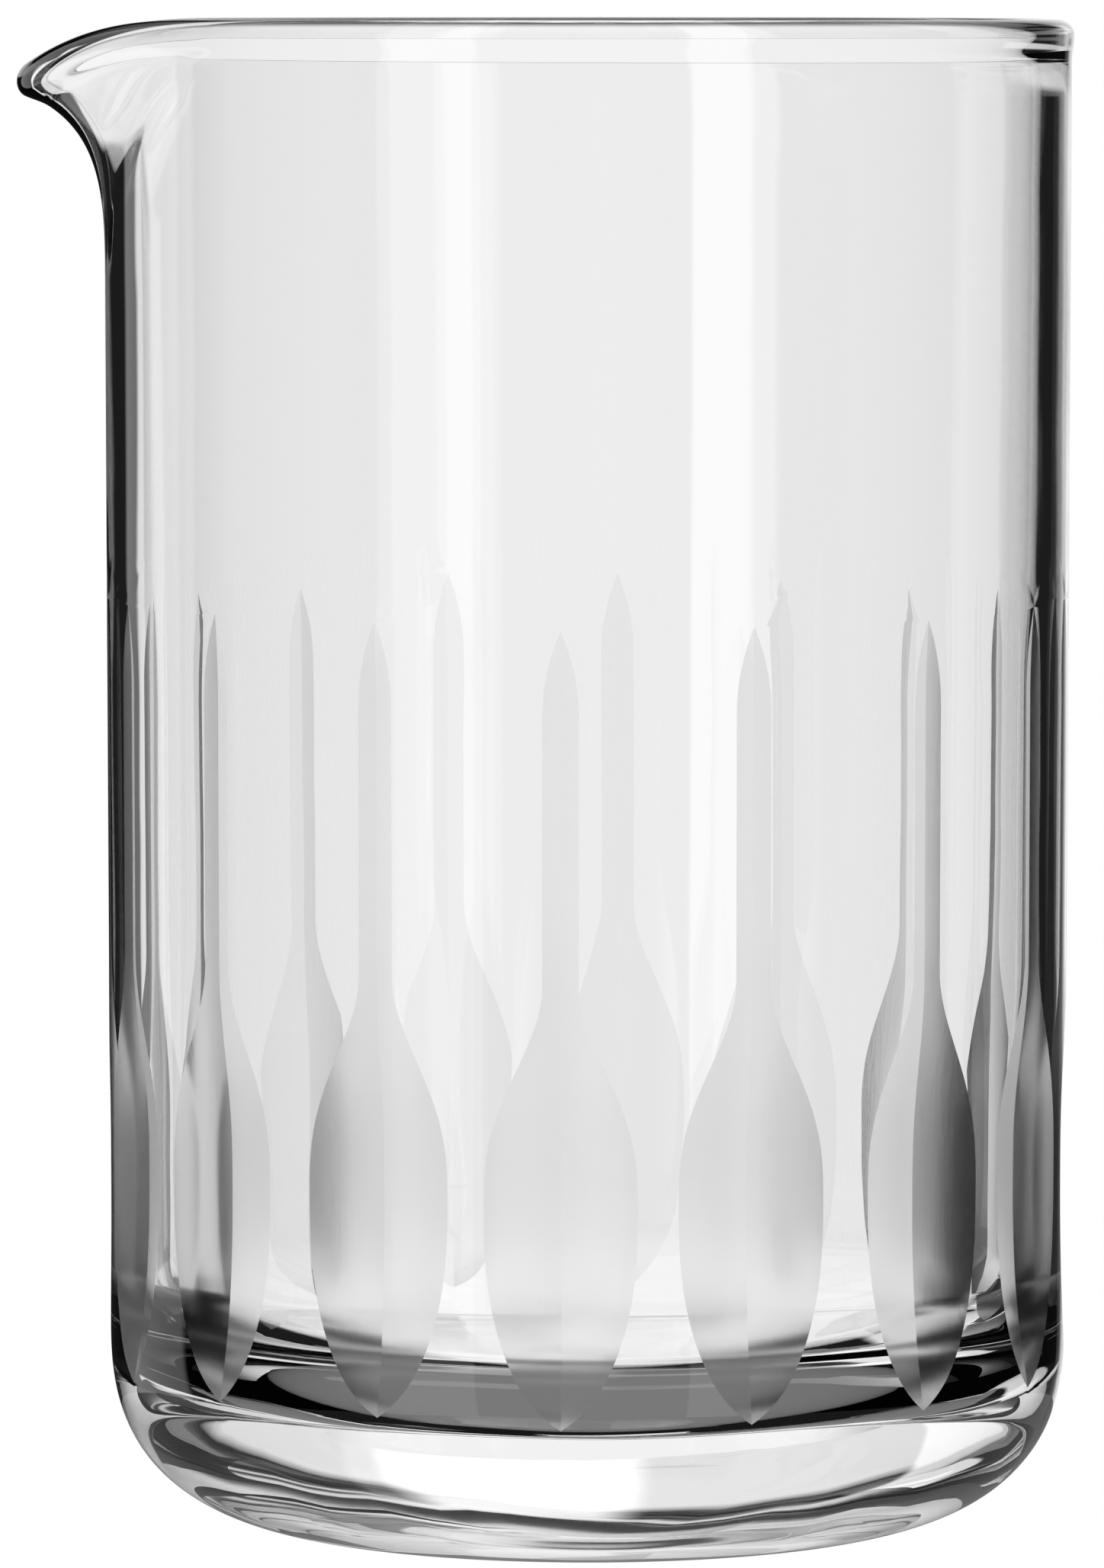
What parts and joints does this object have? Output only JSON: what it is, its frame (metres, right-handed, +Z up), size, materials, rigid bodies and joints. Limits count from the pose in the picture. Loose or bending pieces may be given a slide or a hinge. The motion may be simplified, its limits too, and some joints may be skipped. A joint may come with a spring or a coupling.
{
  "type": "mixing glass",
  "caption": "Near-cylindrical clear glass for stirring drinks, with a thick rounded base, a pulled pour spout and a ring of ground leaf-shaped cuts with pointed stems.",
  "frame": {"origin": "centre of the flat rest face, on the glass's axis", "axes": "+Z up along the glass's axis, -X towards the pour spout"},
  "size_m": [0.0975, 0.0896, 0.14],
  "materials": {
    "glass": "polished, with satin ground cuts"
  },
  "bodies": {
    "root": {"glass_body": "glass"}
  },
  "joints": []
}
